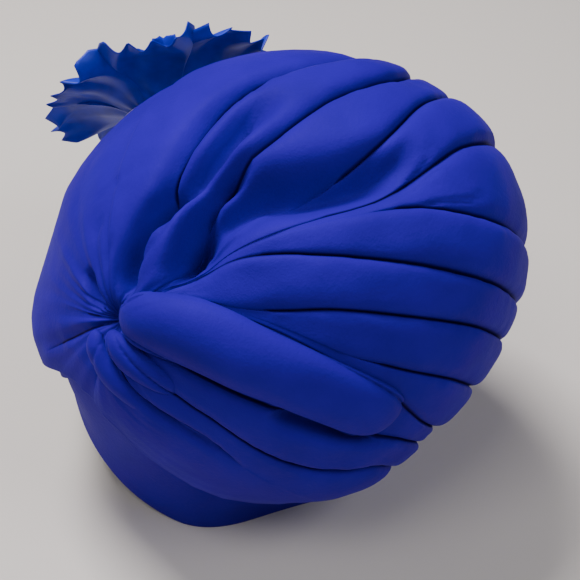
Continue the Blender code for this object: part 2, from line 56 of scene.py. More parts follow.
EGG_CENTRE = np.array((0.0, 0.019, 0.119))
EGG_LEAN = math.radians(33.0)
EGG_HALF_WIDTH = 0.117
EGG_FRONT, EGG_BACK = 0.110, 0.147
EGG_TOP, EGG_BOTTOM = 0.110, 0.115
SWELLS = [
    # azimuth in degrees, height in m, spread in degrees, spread in m, size in m
    (40, 0.108, 22, 0.030, 0.009),
    (-20, 0.062, 48, 0.042, 0.024),
    (138, 0.068, 18, 0.022, 0.007),
]
HEM = np.array([
    # azimuth in degrees, height of the crown's hem in m, how far the band lies inside the egg in m
    (-180, 0.066, 0.012),
    (-140, 0.064, 0.012),
    (-90, 0.058, 0.012),
    (-40, 0.062, 0.013),
    (0, 0.073, 0.014),
    (31, 0.086, 0.010),
    (47, 0.104, 0.009),
    (64, 0.120, 0.012),
    (74, 0.113, 0.014),
    (82, 0.101, 0.016),
    (92, 0.085, 0.017),
    (102, 0.067, 0.017),
    (120, 0.048, 0.015),
    (137, 0.053, 0.013),
    (150, 0.066, 0.012),
    (180, 0.066, 0.012),
])


def smooth_curve(stations, values, x):
    """Reads a smooth curve through a short table, at many places at once."""
    stations, values = np.asarray(stations, float), np.asarray(values, float)
    x = np.clip(x, stations[0], stations[-1])
    i = np.clip(np.searchsorted(stations, x) - 1, 0, len(stations) - 2)
    after = np.minimum(np.arange(len(stations)) + 1, len(stations) - 1)
    before = np.maximum(np.arange(len(stations)) - 1, 0)
    slope = (values[after] - values[before]) / (stations[after] - stations[before])
    width = stations[i + 1] - stations[i]
    t = (x - stations[i]) / width
    a = values[i] * (2 * t**3 - 3 * t**2 + 1) + values[i + 1] * (3 * t**2 - 2 * t**3)
    b = slope[i] * (t**3 - 2 * t**2 + t) + slope[i + 1] * (t**3 - t**2)
    return a + b * width


def wrap(degrees):
    return (degrees + 180.0) % 360.0 - 180.0


def hem_height(azimuth):
    return smooth_curve(HEM[:, 0], HEM[:, 1], wrap(azimuth))


def rim_height(azimuth):
    front = (np.cos(np.radians(azimuth)) + 1.0) / 2.0
    return np.maximum(BROW_RISE * front**BROW_SHARPNESS - RIM_LEVELLING, 0.0)


def rim_radius(side):
    width, length = RIM_HALF_WIDTH, RIM_HALF_LENGTH
    a = (side[:, 0] / width) ** 2 + (side[:, 1] / length) ** 2
    b = side[:, 1] * RIM_SET_BACK / length**2
    c = 1.0 - (RIM_SET_BACK / length) ** 2
    drawn = np.where(side[:, 1] > 0.0, (2.0 * side[:, 0] * side[:, 1]) ** 2, 0.0)
    return (b + np.sqrt(b * b + a * c)) / a * (1.0 - NAPE_NARROWING * drawn)


def egg_level(points):
    """1 on the crown's egg, less inside it and more outside."""
    arm = points - EGG_CENTRE
    back = arm[:, 1] * math.cos(EGG_LEAN) + arm[:, 2] * math.sin(EGG_LEAN)
    rise = arm[:, 2] * math.cos(EGG_LEAN) - arm[:, 1] * math.sin(EGG_LEAN)
    length = np.where(back > 0.0, EGG_BACK, EGG_FRONT)
    height = np.where(rise > 0.0, EGG_TOP, EGG_BOTTOM)
    return np.sqrt((arm[:, 0] / EGG_HALF_WIDTH) ** 2 + (back / length) ** 2 + (rise / height) ** 2)


REACH_LIMIT = 0.4
REACH_HALVINGS = 28


def reach(start, directions):
    """Distance along each ray from inside the egg to its surface."""
    near, far = np.zeros(len(directions)), np.full(len(directions), REACH_LIMIT)
    for _ in range(REACH_HALVINGS):
        middle = (near + far) / 2.0
        inside = egg_level(start + directions * middle[:, None]) < 1.0
        near, far = np.where(inside, middle, near), np.where(inside, far, middle)
    return near


def azimuth_of(points):
    return np.degrees(np.arctan2(points[:, 0], -points[:, 1]))


def swell(points):
    """How far the local swellings push the crown out."""
    total = np.zeros(len(points))
    for azimuth, height, spread, tall, size in SWELLS:
        turn = wrap(azimuth_of(points) - azimuth)
        total += size * np.exp(-((turn / spread) ** 2) - ((points[:, 2] - height) / tall) ** 2)
    return total


def band_surface(azimuth, height):
    """Points of the head band, which widens from the rim to just inside the crown."""
    turn = np.radians(azimuth)
    side = np.stack([np.sin(turn), -np.cos(turn), np.zeros_like(turn)], axis=1)
    rim, hem, low = rim_radius(side), hem_height(azimuth), rim_height(azimuth)
    foot = np.stack([np.zeros_like(hem), np.zeros_like(hem), hem], axis=1)
    egg = reach(foot, side)
    inset = smooth_curve(HEM[:, 0], HEM[:, 2], wrap(azimuth))
    top = np.maximum(egg + swell(foot + side * egg[:, None]) - inset, rim)
    share = np.clip((height - low) / (hem - low), 0.0, 1.0)
    radius = rim + (top - rim) * (1.0 - np.cos(share * math.pi)) / 2.0
    radius = radius - BAND_TOP_DRAW * np.maximum(height - hem, 0.0)
    return side * radius[:, None] + np.stack([0 * height, 0 * height, height], axis=1)


def unit(vectors):
    return vectors / np.linalg.norm(vectors, axis=1)[:, None]


PROBE_TURN = 3.0
PROBE_RISE = 0.003


def band_point(azimuth, height, outside):
    """Points on the head band, or a little way off it, square to its surface."""
    along = band_surface(azimuth + PROBE_TURN, height) - band_surface(azimuth - PROBE_TURN, height)
    up = band_surface(azimuth, height + PROBE_RISE) - band_surface(azimuth, height - PROBE_RISE)
    return band_surface(azimuth, height) + unit(np.cross(along, up)) * outside[:, None]


# The rim's middle in the model's frame, read from the foot of the band
FOOT_HEIGHT = 0.0005
rim_foot = np.array([v.co[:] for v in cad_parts["base_band"].data.vertices if v.co.z < FOOT_HEIGHT])
HAT_MIDDLE = np.array([
    (rim_foot[:, 0].min() + rim_foot[:, 0].max()) / 2.0,
    rim_foot[:, 1].max() - RIM_HALF_LENGTH - RIM_SET_BACK,
    0.0,
])


SHEET_MERGE = 0.001


def spun_sheet(columns, rings, closed):
    """A sheet of rings about an upright axis, as a disc, or as a ring with its two edges joined."""
    sheet = bmesh.new()
    spoke = [sheet.verts.new((ring + 1.0, 0.0, 0.0)) for ring in range(rings)]
    edges = [sheet.edges.new(pair) for pair in zip(spoke, spoke[1:])]
    bmesh.ops.spin(
        sheet, geom=spoke + edges, cent=(0, 0, 0), axis=(0, 0, 1),
        angle=2.0 * math.pi, steps=columns, use_merge=True,
    )
    bmesh.ops.remove_doubles(sheet, verts=sheet.verts, dist=SHEET_MERGE)
    if closed:
        bmesh.ops.bridge_loops(sheet, edges=[edge for edge in sheet.edges if edge.is_boundary])
    bmesh.ops.recalc_face_normals(sheet, faces=sheet.faces)
    return sheet


def spun_places(sheet, columns):
    """The ring and the column of each vertex of a spun sheet."""
    flat = np.array([vert.co[:] for vert in sheet.verts])
    ring = np.round(np.hypot(flat[:, 0], flat[:, 1])).astype(int) - 1
    column = np.round(np.arctan2(flat[:, 1], flat[:, 0]) / (2.0 * math.pi) * columns).astype(int) % columns
    return ring, column


def move_to(sheet, points):
    for vert, point in zip(sheet.verts, points + HAT_MIDDLE):
        vert.co = point


def finish_piece(name, sheet, material, nodes):
    """Makes a shaded object of a sheet, with its faces outwards, that rides on the hat."""
    if sheet.calc_volume(signed=True) < 0.0:
        bmesh.ops.reverse_faces(sheet, faces=sheet.faces)
    mesh = bpy.data.meshes.new(name)
    sheet.to_mesh(mesh)
    sheet.free()
    mesh.shade_smooth()
    mesh.materials.append(material)
    piece = bpy.data.objects.new(name, mesh)
    bpy.context.scene.collection.objects.link(piece)
    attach(piece, "root")
    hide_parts(*nodes)
    return piece


def blank_material(name):
    """A new material, with its nodes, its links and its shader."""
    material = bpy.data.materials.new(name)
    material.use_nodes = True
    nodes, links = material.node_tree.nodes, material.node_tree.links
    return material, nodes, links, nodes["Principled BSDF"]


def set_inputs(node, values):
    for name, value in values.items():
        node.inputs[name].default_value = value


def add_node(nodes, kind, values):
    """Adds a shader node and sets its inputs by their names."""
    node = nodes.new(kind)
    set_inputs(node, values)
    return node


def dye_ramp(nodes, *stops):
    """A ramp between two dyes, each given by its place on the ramp and its colour."""
    ramp = nodes.new("ShaderNodeValToRGB")
    for element, (position, colour) in zip(ramp.color_ramp.elements, stops):
        element.position = position
        element.color = (*colour, 1.0)
    return ramp


def knit_cloth(name, colour, deep_colour, roughness):
    """Double knit cloth: a fine grain, a slightly uneven dye, and stitching along the seams."""
    material, nodes, links, shader = blank_material(name)
    set_inputs(shader, {
        "Sheen Weight": 0.06, "Sheen Roughness": 0.45, "Sheen Tint": (0.16, 0.16, 1.0, 1.0),
        "Specular IOR Level": 0.05,
    })
    place = nodes.new("ShaderNodeTexCoord")
    seam = nodes.new("ShaderNodeAttribute")
    seam.attribute_name = "seam_gap"
    patches = add_node(nodes, "ShaderNodeTexNoise", {"Scale": 26.0, "Detail": 5.0})
    grain = add_node(nodes, "ShaderNodeTexVoronoi", {"Scale": 1150.0})
    slubs = add_node(nodes, "ShaderNodeTexNoise", {"Scale": 420.0, "Detail": 3.0})
    for texture in (patches, grain, slubs):
        links.new(place.outputs["Object"], texture.inputs["Vector"])
    dye = dye_ramp(nodes, (0.30, deep_colour), (0.72, colour))
    links.new(patches.outputs["Fac"], dye.inputs["Fac"])
    thread = add_node(nodes, "ShaderNodeMapRange", {"From Min": 0.0002, "From Max": 0.0011, "To Min": 0.30})
    thread.interpolation_type = "SMOOTHSTEP"
    links.new(seam.outputs["Fac"], thread.inputs["Value"])
    shade = add_node(nodes, "ShaderNodeMix", {"Factor": 1.0})
    shade.data_type = "RGBA"
    shade.blend_type = "MULTIPLY"
    links.new(dye.outputs["Color"], shade.inputs[6])
    links.new(thread.outputs["Result"], shade.inputs[7])
    links.new(shade.outputs[2], shader.inputs["Base Color"])
    rough = add_node(nodes, "ShaderNodeMapRange", {"To Min": roughness[0], "To Max": roughness[1]})
    links.new(slubs.outputs["Fac"], rough.inputs["Value"])
    links.new(rough.outputs["Result"], shader.inputs["Roughness"])
    weave = add_node(nodes, "ShaderNodeBump", {"Strength": 0.16, "Distance": 0.0004})
    links.new(grain.outputs["Distance"], weave.inputs["Height"])
    uneven = add_node(nodes, "ShaderNodeBump", {"Strength": 0.30, "Distance": 0.0006})
    links.new(slubs.outputs["Fac"], uneven.inputs["Height"])
    links.new(weave.outputs["Normal"], uneven.inputs["Normal"])
    links.new(uneven.outputs["Normal"], shader.inputs["Normal"])
    return material


def mark_seams(piece, gaps):
    """Keeps each vertex's distance from the nearest seam, which the cloth's stitching reads."""
    layer = piece.data.attributes.new("seam_gap", "FLOAT", "POINT")
    layer.data.foreach_set("value", np.asarray(gaps, np.float32))


SEED_STEPS = (3.7, 1.9, 2.3)


def waver(points, size, seed):
    """Slow smooth noise, from -1 to 1, that keeps cloth from looking machined."""
    away = Vector([seed * step for step in SEED_STEPS])
    return np.array([noise.noise(Vector(point) / size + away) for point in points])


BAND_COLUMNS = 224
BAND_RINGS = 34
BAND_FOLD = 5
BAND_HEM_STITCH = 0.009
BAND_UNEVENNESS, BAND_UNEVEN_SIZE = 0.0006, 0.035
INNER_FACE = -0.001
STITCH_INSET = 0.0009
NO_STITCH = 0.02

TURBAN_BLUE = (0.0260, 0.0016, 0.360)
TURBAN_DEEP = (0.0200, 0.0011, 0.285)
KNIT_ROUGHNESS = (0.54, 0.68)
turban_knit = knit_cloth("turban_knit", TURBAN_BLUE, TURBAN_DEEP, KNIT_ROUGHNESS)

sheet = spun_sheet(BAND_COLUMNS, 2 * BAND_RINGS + BAND_FOLD, closed=True)
ring, column = spun_places(sheet, BAND_COLUMNS)
azimuth = 360.0 * column / BAND_COLUMNS
low, high = rim_height(azimuth), hem_height(azimuth) + BAND_OVERLAP
rise = np.where(ring < BAND_RINGS, ring, 2 * BAND_RINGS + BAND_FOLD - 1 - ring) / (BAND_RINGS - 1.0)
fold = np.clip((ring - BAND_RINGS + 1.0) / (BAND_FOLD + 1.0), 0.0, 1.0) * math.pi
in_fold = (ring >= BAND_RINGS) & (ring < BAND_RINGS + BAND_FOLD)
height = high + (low + BAND_WALL / 2.0 - high) * np.where(in_fold, 1.0, rise)
height -= np.where(in_fold, np.sin(fold) * BAND_WALL / 2.0, 0.0)
outside = (np.cos(fold) - 1.0) * BAND_WALL / 2.0
points = band_point(azimuth, height, outside)
uneven = BAND_UNEVENNESS * waver(points, BAND_UNEVEN_SIZE, seed=1.0)
points += unit(points * (1, 1, 0)) * uneven[:, None]
gap = np.abs(height - low - BAND_HEM_STITCH) + np.where(outside < INNER_FACE, 1.0, 0.0)
move_to(sheet, points)
band = finish_piece("head_band", sheet, turban_knit, ["base_band"])
mark_seams(band, np.clip(gap, 0.0, NO_STITCH) + STITCH_INSET)

# Pleated crown
# One wide cloth, lightly padded, laid in puffed pleats that fan out from a gather at the wearer's
# left front. Each pleat is stitched down along its edge, and the cloth turns under at the hem.
HUB = np.array((0.0, 0.015, 0.088))
GATHER_AZIMUTH = math.radians(68.3)
GATHER_ELEVATION = math.radians(37.0)
GATHER_PIT = 0.010
GATHER_SPREAD = 4.0
DRAPE_WALL = 0.0028
HEM_ROLL = 0.0015
HEM_WALL = 0.0022
HEM_SEAT = 0.0014
PLEAT_HEIGHT = 0.0050
PLEAT_HEIGHT_TO_WIDTH = 0.20
PLEAT_SQUARENESS = 4.5
FLAT_NEAR_GATHER = 0.55
PUFF_STARTS, PUFF_LENGTH = 30.0, 45.0
NARROW_PLEAT = 0.005
WIDEST_DISTANCE = 150.0
GROOVE_TO_WIDTH = 0.30
GROOVE_FADES = 20.0
CROWN_RADIUS = 0.13
MILLIMETRE = 0.001
GROOVE, OPENS, CLOSES, FULLNESS = 2, 3, 4, 5
STATIONS = (0.0, 14.0, 28.0, 45.0, 57.0, 75.0, 110.0, 160.0)
SEAMS = [
    # name, turn at each station, groove in mm, distances where it opens and closes, fullness of its pleat
    ("low_front", (-172, -172, -172, -170, -169, -168, -165, -165), 0.8, 0, 16, 0.5),
    ("brow", (-130, -130, -130, -132, -133, -134, -134, -132), 1.0, 0, 26, 0.4),
    ("front_1", (-104, -104, -104, -106, -107, -108, -106, -102), 0.6, 0, 12, 0.3),
    ("front_2", (-78, -78, -78, -80, -81, -82, -80, -76), 0.6, 0, 8, 0.3),
    ("front_3", (-46, -50, -52, -54, -55, -55, -54, -50), 0.6, 0, 8, 0.4),
    ("front_4", (-20, -26, -28, -28, -27, -26, -26, -26), 0.6, 0, 8, 1.0),
    ("front_seam", (8, 2, -1, -3, -1, 8, 4, -2), 3.4, 24, 88, 1.5),
    ("crown_1", (30, 38, 19, 18, 17.5, 18.5, 9, 12), 2.6, 30, 200, 1.2),
    ("crown_2", (34, 40, 31, 33, 32, 25.5, 22, 28), 2.6, 48, 200, 1.2),
    ("crown_3", (36, 41, 40, 41, 41, 36, 35, 44), 2.2, 41, 200, 1.0),
    ("back_1", (38, 42, 41, 42.5, 44.5, 49.5, 56, 64), 2.4, 52, 200, 1.1),
    ("back_2", (42, 43.5, 43, 50.6, 55, 59.6, 66, 76), 2.6, 16, 200, 1.1),
    ("back_3", (46, 48, 61, 63.2, 65, 67.4, 74, 87), 2.4, 28, 200, 1.0),
    ("back_4", (50, 50, 62.5, 73, 75.8, 78, 85, 99), 2.2, 50, 200, 1.0),
    ("side_1", (56, 52, 64, 75.5, 81, 89, 97, 111), 2.6, 0, 200, 1.0),
    ("side_2", (96, 96, 96, 95, 95, 95, 104, 122), 2.6, 0, 200, 1.1),
    ("side_3", (127, 121, 114, 113.5, 111, 104, 114, 136), 2.0, 0, 200, 1.0),
    ("side_4", (160, 148, 126, 123.5, 123, 122, 131, 150), 2.4, 0, 42, 0.9),
]
OPENING_LENGTH = 10.0
FLAT_PLEAT = 14
FLAT_LENGTH = 70.0
FLAT_EASING = 12.0
FOLDS = [
    # name, places (turn, distance) along it, half width in m, height in m
    ("great_trough",
     ((40, 16), (33, 22), (27.5, 28), (26.5, 33), (29, 39), (33, 44.5), (36, 51), (37, 58), (37, 66)),
     0.0104, -0.0230),
    ("trough_lip", ((38.5, 21), (35, 25), (33.5, 29.5), (32, 33.5), (31, 37), (31, 40)), 0.0017, 0.0026),
    ("trough_crease", ((39.5, 22), (36.5, 27), (35, 32)), 0.0014, -0.0018),
    ("knot_valley", ((41, 14.5), (32, 20.5), (24, 25), (18.5, 28.5), (15.5, 32.5), (17, 37), (18, 41)),
     0.0052, -0.0175),
    ("left_valley", ((14, 4), (-1, 10.5), (-3.3, 16.5), (-1.7, 21.5), (0.5, 26), (3, 30)),
     0.0052, -0.0165),
    ("branch_valley", ((0, 20), (3.5, 25), (6.5, 31), (8, 37), (8, 42), (8, 47), (9, 54)),
     0.0062, -0.0170),
    ("lit_ridge", ((30, 16), (20, 19), (14.5, 24), (13, 30), (14, 36.5), (14.5, 42), (14, 50)),
     0.0050, 0.0028),
    ("seam_valley", ((-1, 26), (-2, 32), (-2.8, 42), (-1, 50), (3, 60)), 0.0064, -0.0060),
    ("small_crease", ((16, 6.5), (7, 11.5), (9.5, 16), (11.4, 20.3), (9.6, 24.6)), 0.0018, -0.0030),
    ("top_notch", ((-1, 52), (3, 60), (7, 68), (8, 78), (6, 88)), 0.0060, -0.0050),
    ("layered_crease", ((45, 60), (45.3, 64), (46, 69), (45, 73)), 0.0012, -0.0018),
    ("front_dart", ((-20, 31.2), (-31, 28.1), (-46.4, 25.9)), 0.0011, -0.0015),
    ("low_dart", ((-44, 17.7), (-33, 21.4)), 0.0024, -0.0013),
    ("knot_dart", ((-31, 10.6), (-22.4, 16.1)), 0.0020, -0.0016),
    ("gather_slot", ((-55.5, 12.6), (-64, 9), (-80, 4)), 0.0027, -0.0080),
    ("low_crease", ((150, 15), (134, 23), (127, 31), (124.5, 38)), 0.0017, -0.0028),
    ("pocket", ((97, 38), (96.5, 45), (96, 52), (95, 58), (94, 65)), 0.0044, -0.0085),
]
FOLD_SAMPLES = 6
FOLD_TAPER = 0.22
FOLD_END = 0.1
DRAPE_NODES = [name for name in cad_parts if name.startswith("drape_")]
PLEAT_COLUMNS = 20
SEAM_CROWDING = 0.80
OUTER_RINGS = 140
TURN_RINGS = 12
INNER_RINGS = 90


def compass(azimuth, elevation):
    """A direction by its azimuth from the front and its elevation."""
    flat = math.cos(elevation)
    return np.array((flat * math.sin(azimuth), -flat * math.cos(azimuth), math.sin(elevation)))


AXIS = compass(GATHER_AZIMUTH, GATHER_ELEVATION)
TURN_UP = np.array((0.0, 0.0, 1.0)) - AXIS * AXIS[2]
TURN_UP /= np.linalg.norm(TURN_UP)
TURN_BACK = np.cross(TURN_UP, AXIS)


def crown_points(turn, distance, lift):
    """Points on the crown by their places on a spoke, lifted off the smooth form."""
    turn, distance = np.radians(turn), np.radians(distance)
    side = TURN_UP * np.cos(turn)[:, None] + TURN_BACK * np.sin(turn)[:, None]
    directions = AXIS * np.cos(distance)[:, None] + side * np.sin(distance)[:, None]
    points = HUB + directions * reach(HUB, directions)[:, None]
    return points + directions * (swell(points) + lift)[:, None]


def seam_turn(row, distance):
    """Turn of each seam at a distance; a row past the last seam is the first, one round further."""
    turns = np.zeros_like(distance)
    for index, seam in enumerate(SEAMS):
        here = row % len(SEAMS) == index
        turns[here] = smooth_curve(STATIONS, seam[1], distance[here])
    return turns + 360.0 * (row // len(SEAMS))


def seam_value(item, row):
    return np.array([seam[item] for seam in SEAMS], float)[row % len(SEAMS)]


def ease(x):
    x = np.clip(x, 0.0, 1.0)
    return x * x * (3.0 - 2.0 * x)


def pleat_crest(row, distance):
    """Width of each pleat, and its height along its middle, lowest near the gather."""
    width = np.radians(seam_turn(row + 1, distance) - seam_turn(row, distance))
    width = np.abs(width) * CROWN_RADIUS * np.sin(np.radians(np.minimum(distance, WIDEST_DISTANCE)))
    height = np.minimum(PLEAT_HEIGHT, PLEAT_HEIGHT_TO_WIDTH * width) * seam_value(FULLNESS, row)
    height *= 1.0 - FLAT_NEAR_GATHER * (1.0 - ease((distance - PUFF_STARTS) / PUFF_LENGTH))
    flat = ease((FLAT_LENGTH + FLAT_EASING / 2.0 - distance) / FLAT_EASING)
    flat *= row % len(SEAMS) == FLAT_PLEAT
    return width, height * (1.0 - flat)


def seam_level(row, distance):
    """Height of each seam's bottom, and how far its crease has opened."""
    (before, low), (after, high) = pleat_crest(row - 1, distance), pleat_crest(row, distance)
    opens, closes = seam_value(OPENS, row), seam_value(CLOSES, row)
    opened = np.where(opens > 0, ease((distance - opens) / OPENING_LENGTH + 0.5), 1.0)
    opened *= 1.0 - ease((distance - closes) / OPENING_LENGTH + 0.5)
    groove = seam_value(GROOVE, row) * MILLIMETRE
    groove = np.minimum(groove, GROOVE_TO_WIDTH * np.minimum(before, after))
    groove *= np.minimum(1.0, distance / GROOVE_FADES)
    plain = (low + high) / 2.0
    return plain - (plain + groove) * opened, opened


def pleat_form(row, share, distance):
    """Height of the pleats above the smooth crown, and the distance from the nearest seam in m."""
    width, crest = pleat_crest(row, distance)
    (low, low_open), (high, high_open) = seam_level(row, distance), seam_level(row + 1, distance)
    puff = (1.0 - np.abs(2.0 * share - 1.0) ** PLEAT_SQUARENESS) ** 0.5
    level = crest + (np.where(share < 0.5, low, high) - crest) * (1.0 - puff)
    low_gap = share * width + NO_STITCH * (1.0 - low_open)
    high_gap = (1.0 - share) * width + NO_STITCH * (1.0 - high_open)
    return level, np.minimum(low_gap, high_gap) + NO_STITCH * ease(1.0 - width / NARROW_PLEAT)


def fold_lift(points, left_out=""):
    """Height that the single folds and hollows add at points on the smooth crown."""
    total = np.zeros(len(points))
    for name, path, half_width, height in FOLDS:
        if name == left_out:
            continue
        knots = np.arange(len(path), dtype=float)
        steps = np.linspace(0.0, len(path) - 1.0, FOLD_SAMPLES * len(path))
        turns = smooth_curve(knots, [place[0] for place in path], steps)
        distances = smooth_curve(knots, [place[1] for place in path], steps)
        line = crown_points(turns, distances, 0.0 * steps)
        away = np.linalg.norm(points[:, None, :] - line[None, :, :], axis=2)
        nearest = away.argmin(axis=1)
        along = nearest / (len(steps) - 1.0)
        taper = ease(along / FOLD_TAPER + FOLD_END) * ease((1.0 - along) / FOLD_TAPER + FOLD_END)
        total += height * np.exp(-((away.min(axis=1) / half_width) ** 2)) * taper
    return total


def spoke_turn(row, share, distance):
    """Turn of a place that lies a share of the way across a pleat."""
    return seam_turn(row, distance) * (1.0 - share) + seam_turn(row + 1, distance) * share


# Unevenness of the cloth: heights and sizes in m, the ripples' length and reach in degrees
RIPPLE_HEIGHT, RIPPLES_ROUND = 0.0016, 8.0
RIPPLE_LENGTH, RIPPLE_FADES = 30.0, 36.0
BROAD_HEIGHT, BROAD_SIZE = 0.0011, 0.034
SMALL_HEIGHT, SMALL_SIZE = 0.0004, 0.011
PUCKER_HEIGHT, PUCKER_SIZE = 0.0006, 0.006
PUCKER_REACH = 0.005


def drape_lift(row, share, distance):
    """Height of the finished cloth above the smooth crown, and the distance from the nearest seam."""
    turn = spoke_turn(row, share, distance)
    smooth = crown_points(turn, distance, 0.0 * distance)
    lift, gap = pleat_form(row, share, distance)
    lift = lift + fold_lift(smooth)
    lift -= GATHER_PIT * np.exp(-((distance / GATHER_SPREAD) ** 2))
    around = np.radians(turn)
    radial = [RIPPLES_ROUND * np.cos(around), RIPPLES_ROUND * np.sin(around), distance / RIPPLE_LENGTH]
    ripple = waver(np.stack(radial, axis=1), 1.0, seed=2.0)
    lift += RIPPLE_HEIGHT * ripple * np.exp(-((distance / RIPPLE_FADES) ** 2))
    broad = BROAD_HEIGHT * waver(smooth, BROAD_SIZE, seed=3.0)
    lift += broad + SMALL_HEIGHT * waver(smooth, SMALL_SIZE, seed=4.0)
    pucker = PUCKER_HEIGHT * waver(smooth, PUCKER_SIZE, seed=5.0)
    lift += pucker * np.exp(-((gap / PUCKER_REACH) ** 2))
    return turn, lift, gap


HEM_SEARCH_FROM, HEM_SEARCH_TO, HEM_SEARCH_STEP = 171.0, 3.0, -0.5


def hem_distance(row, share):
    """Distance along each column at which the crown has come down to its hem."""
    found = np.full(len(row), HEM_SEARCH_FROM + 1.0)
    for step in np.arange(HEM_SEARCH_FROM, HEM_SEARCH_TO, HEM_SEARCH_STEP):
        distance = np.full(len(row), step)
        points = crown_points(spoke_turn(row, share, distance), distance, 0.0 * distance)
        found = np.where(points[:, 2] < hem_height(azimuth_of(points)) + HEM_ROLL, step, found)
    return found


TURN_FULLNESS = 0.45


def turned_under(last, seat, part):
    """The cloth's turn at the hem, from the foot of the crown round to its seat on the band."""
    outward = unit(last - HUB)
    leave = unit(outward * outward[:, 2:3] - np.array((0.0, 0.0, 1.0)))
    out = unit(seat * (1.0, 1.0, 0.0))
    span = np.linalg.norm(last - seat, axis=1)[:, None] * TURN_FULLNESS
    a, b = last, last + leave * span
    c, d = seat + out * span, seat
    t = part[:, None]
    s = 1.0 - t
    return a * s**3 + b * (3.0 * s * s * t) + c * (3.0 * s * t * t) + d * t**3


def column_place(column):
    """The pleat of each column, and its share of the way across, crowded towards the seams."""
    step = (column % PLEAT_COLUMNS) / PLEAT_COLUMNS
    share = step - SEAM_CROWDING * np.sin(2.0 * math.pi * step) / (2.0 * math.pi)
    return column // PLEAT_COLUMNS, share


RING_CROWDING = 0.85
HEM_SMOOTHING = (-2, -1, 0, 1, 2)
CLOSE_VERTICES = 0.00002

columns = len(SEAMS) * PLEAT_COLUMNS
rings = OUTER_RINGS + 2 * TURN_RINGS + INNER_RINGS
sheet = spun_sheet(columns, rings, closed=False)
ring, column = spun_places(sheet, columns)
row, share = column_place(column)
one_row, one_share = column_place(np.arange(columns))
ends = hem_distance(one_row, one_share)
ends = sum(np.roll(ends, shift) for shift in HEM_SMOOTHING) / len(HEM_SMOOTHING)

# Outside rings run from the gather to the hem, inside rings run back
outer_part = np.clip(ring / (OUTER_RINGS - 1.0), 0.0, 1.0)
inner_part = np.clip((rings - 1.0 - ring) / (INNER_RINGS - 1.0), 0.0, 1.0)
on_outside = ring < OUTER_RINGS + TURN_RINGS
part = np.where(on_outside, outer_part, inner_part)
distance = ends[column] * part**RING_CROWDING
turn, lift, gap = drape_lift(row, share, distance)
points = crown_points(turn, distance, np.where(on_outside, lift, lift - DRAPE_WALL))

foot_turn, foot_lift, _ = drape_lift(one_row, one_share, ends)
for wall, seat_rise, inside in ((0.0, 0.0, False), (DRAPE_WALL, HEM_WALL, True)):
    foot = crown_points(foot_turn, ends, foot_lift - wall)
    foot_azimuth = azimuth_of(crown_points(foot_turn, ends, foot_lift))
    seat = band_point(foot_azimuth, hem_height(foot_azimuth) + seat_rise, np.full(columns, HEM_SEAT))
    if inside:
        turning = (ring >= OUTER_RINGS + TURN_RINGS) & (ring < OUTER_RINGS + 2 * TURN_RINGS)
        turn_part = (OUTER_RINGS + 2 * TURN_RINGS - ring[turning]) / TURN_RINGS
    else:
        turning = (ring >= OUTER_RINGS) & (ring < OUTER_RINGS + TURN_RINGS)
        turn_part = (ring[turning] - OUTER_RINGS + 1.0) / TURN_RINGS
    points[turning] = turned_under(foot[column[turning]], seat[column[turning]], turn_part)
move_to(sheet, points)
layer = sheet.verts.layers.float.new("seam_gap")
for vert, value in zip(sheet.verts, np.where(on_outside, gap, NO_STITCH)):
    vert[layer] = value
bmesh.ops.remove_doubles(sheet, verts=sheet.verts, dist=CLOSE_VERTICES)
finish_piece("pleated_crown", sheet, turban_knit, DRAPE_NODES)

# Brow layer
# A second smooth layer of the band's cloth over the brow, whose lower edge shows under the crown.
# It narrows to almost nothing at each side, where it is sewn in behind the crown's hem.
BROW_SPAN = 57.9
BROW_DROP = 0.012
BROW_BELOW_HEM = 0.007
BROW_STAND_OFF = 0.0024
BROW_WALL = 0.0014
BROW_END_DROP = 0.12
BROW_BLUNTNESS = 0.7
BROW_UNEVENNESS, BROW_UNEVEN_SIZE = 0.0003, 0.02


def flat_grid(along, across):
    """A flat grid, and the place of each vertex on it from 0 to 1."""
    sheet = bmesh.new()
    bmesh.ops.create_grid(sheet, x_segments=across, y_segments=along, size=0.5)
    return sheet, np.array([vert.co[:] for vert in sheet.verts]) + 0.5


def give_wall(piece, thickness, offset):
    """Gives a sheet its thickness: inwards at an offset of -1, to both sides at 0."""
    wall = piece.modifiers.new("wall", "SOLIDIFY")
    wall.thickness = thickness
    wall.offset = offset


sheet, flat = flat_grid(along=12, across=96)
azimuth = BROW_SPAN * (2.0 * flat[:, 0] - 1.0)
drop = np.maximum(np.sin(math.pi * flat[:, 0]), 0.0) ** BROW_BLUNTNESS
drop = BROW_DROP * (BROW_END_DROP + (1.0 - BROW_END_DROP) * drop)
height = hem_height(azimuth) - BROW_BELOW_HEM - drop * (1.0 - flat[:, 1])
points = band_point(azimuth, height, np.full(len(azimuth), BROW_STAND_OFF))
uneven = BROW_UNEVENNESS * waver(points, BROW_UNEVEN_SIZE, seed=6.0)
points += unit(points * (1, 1, 0)) * uneven[:, None]
move_to(sheet, points)
brow = finish_piece("brow_layer", sheet, turban_knit, ["brow_band"])
mark_seams(brow, flat[:, 1] * drop + STITCH_INSET)
give_wall(brow, BROW_WALL, -1.0)

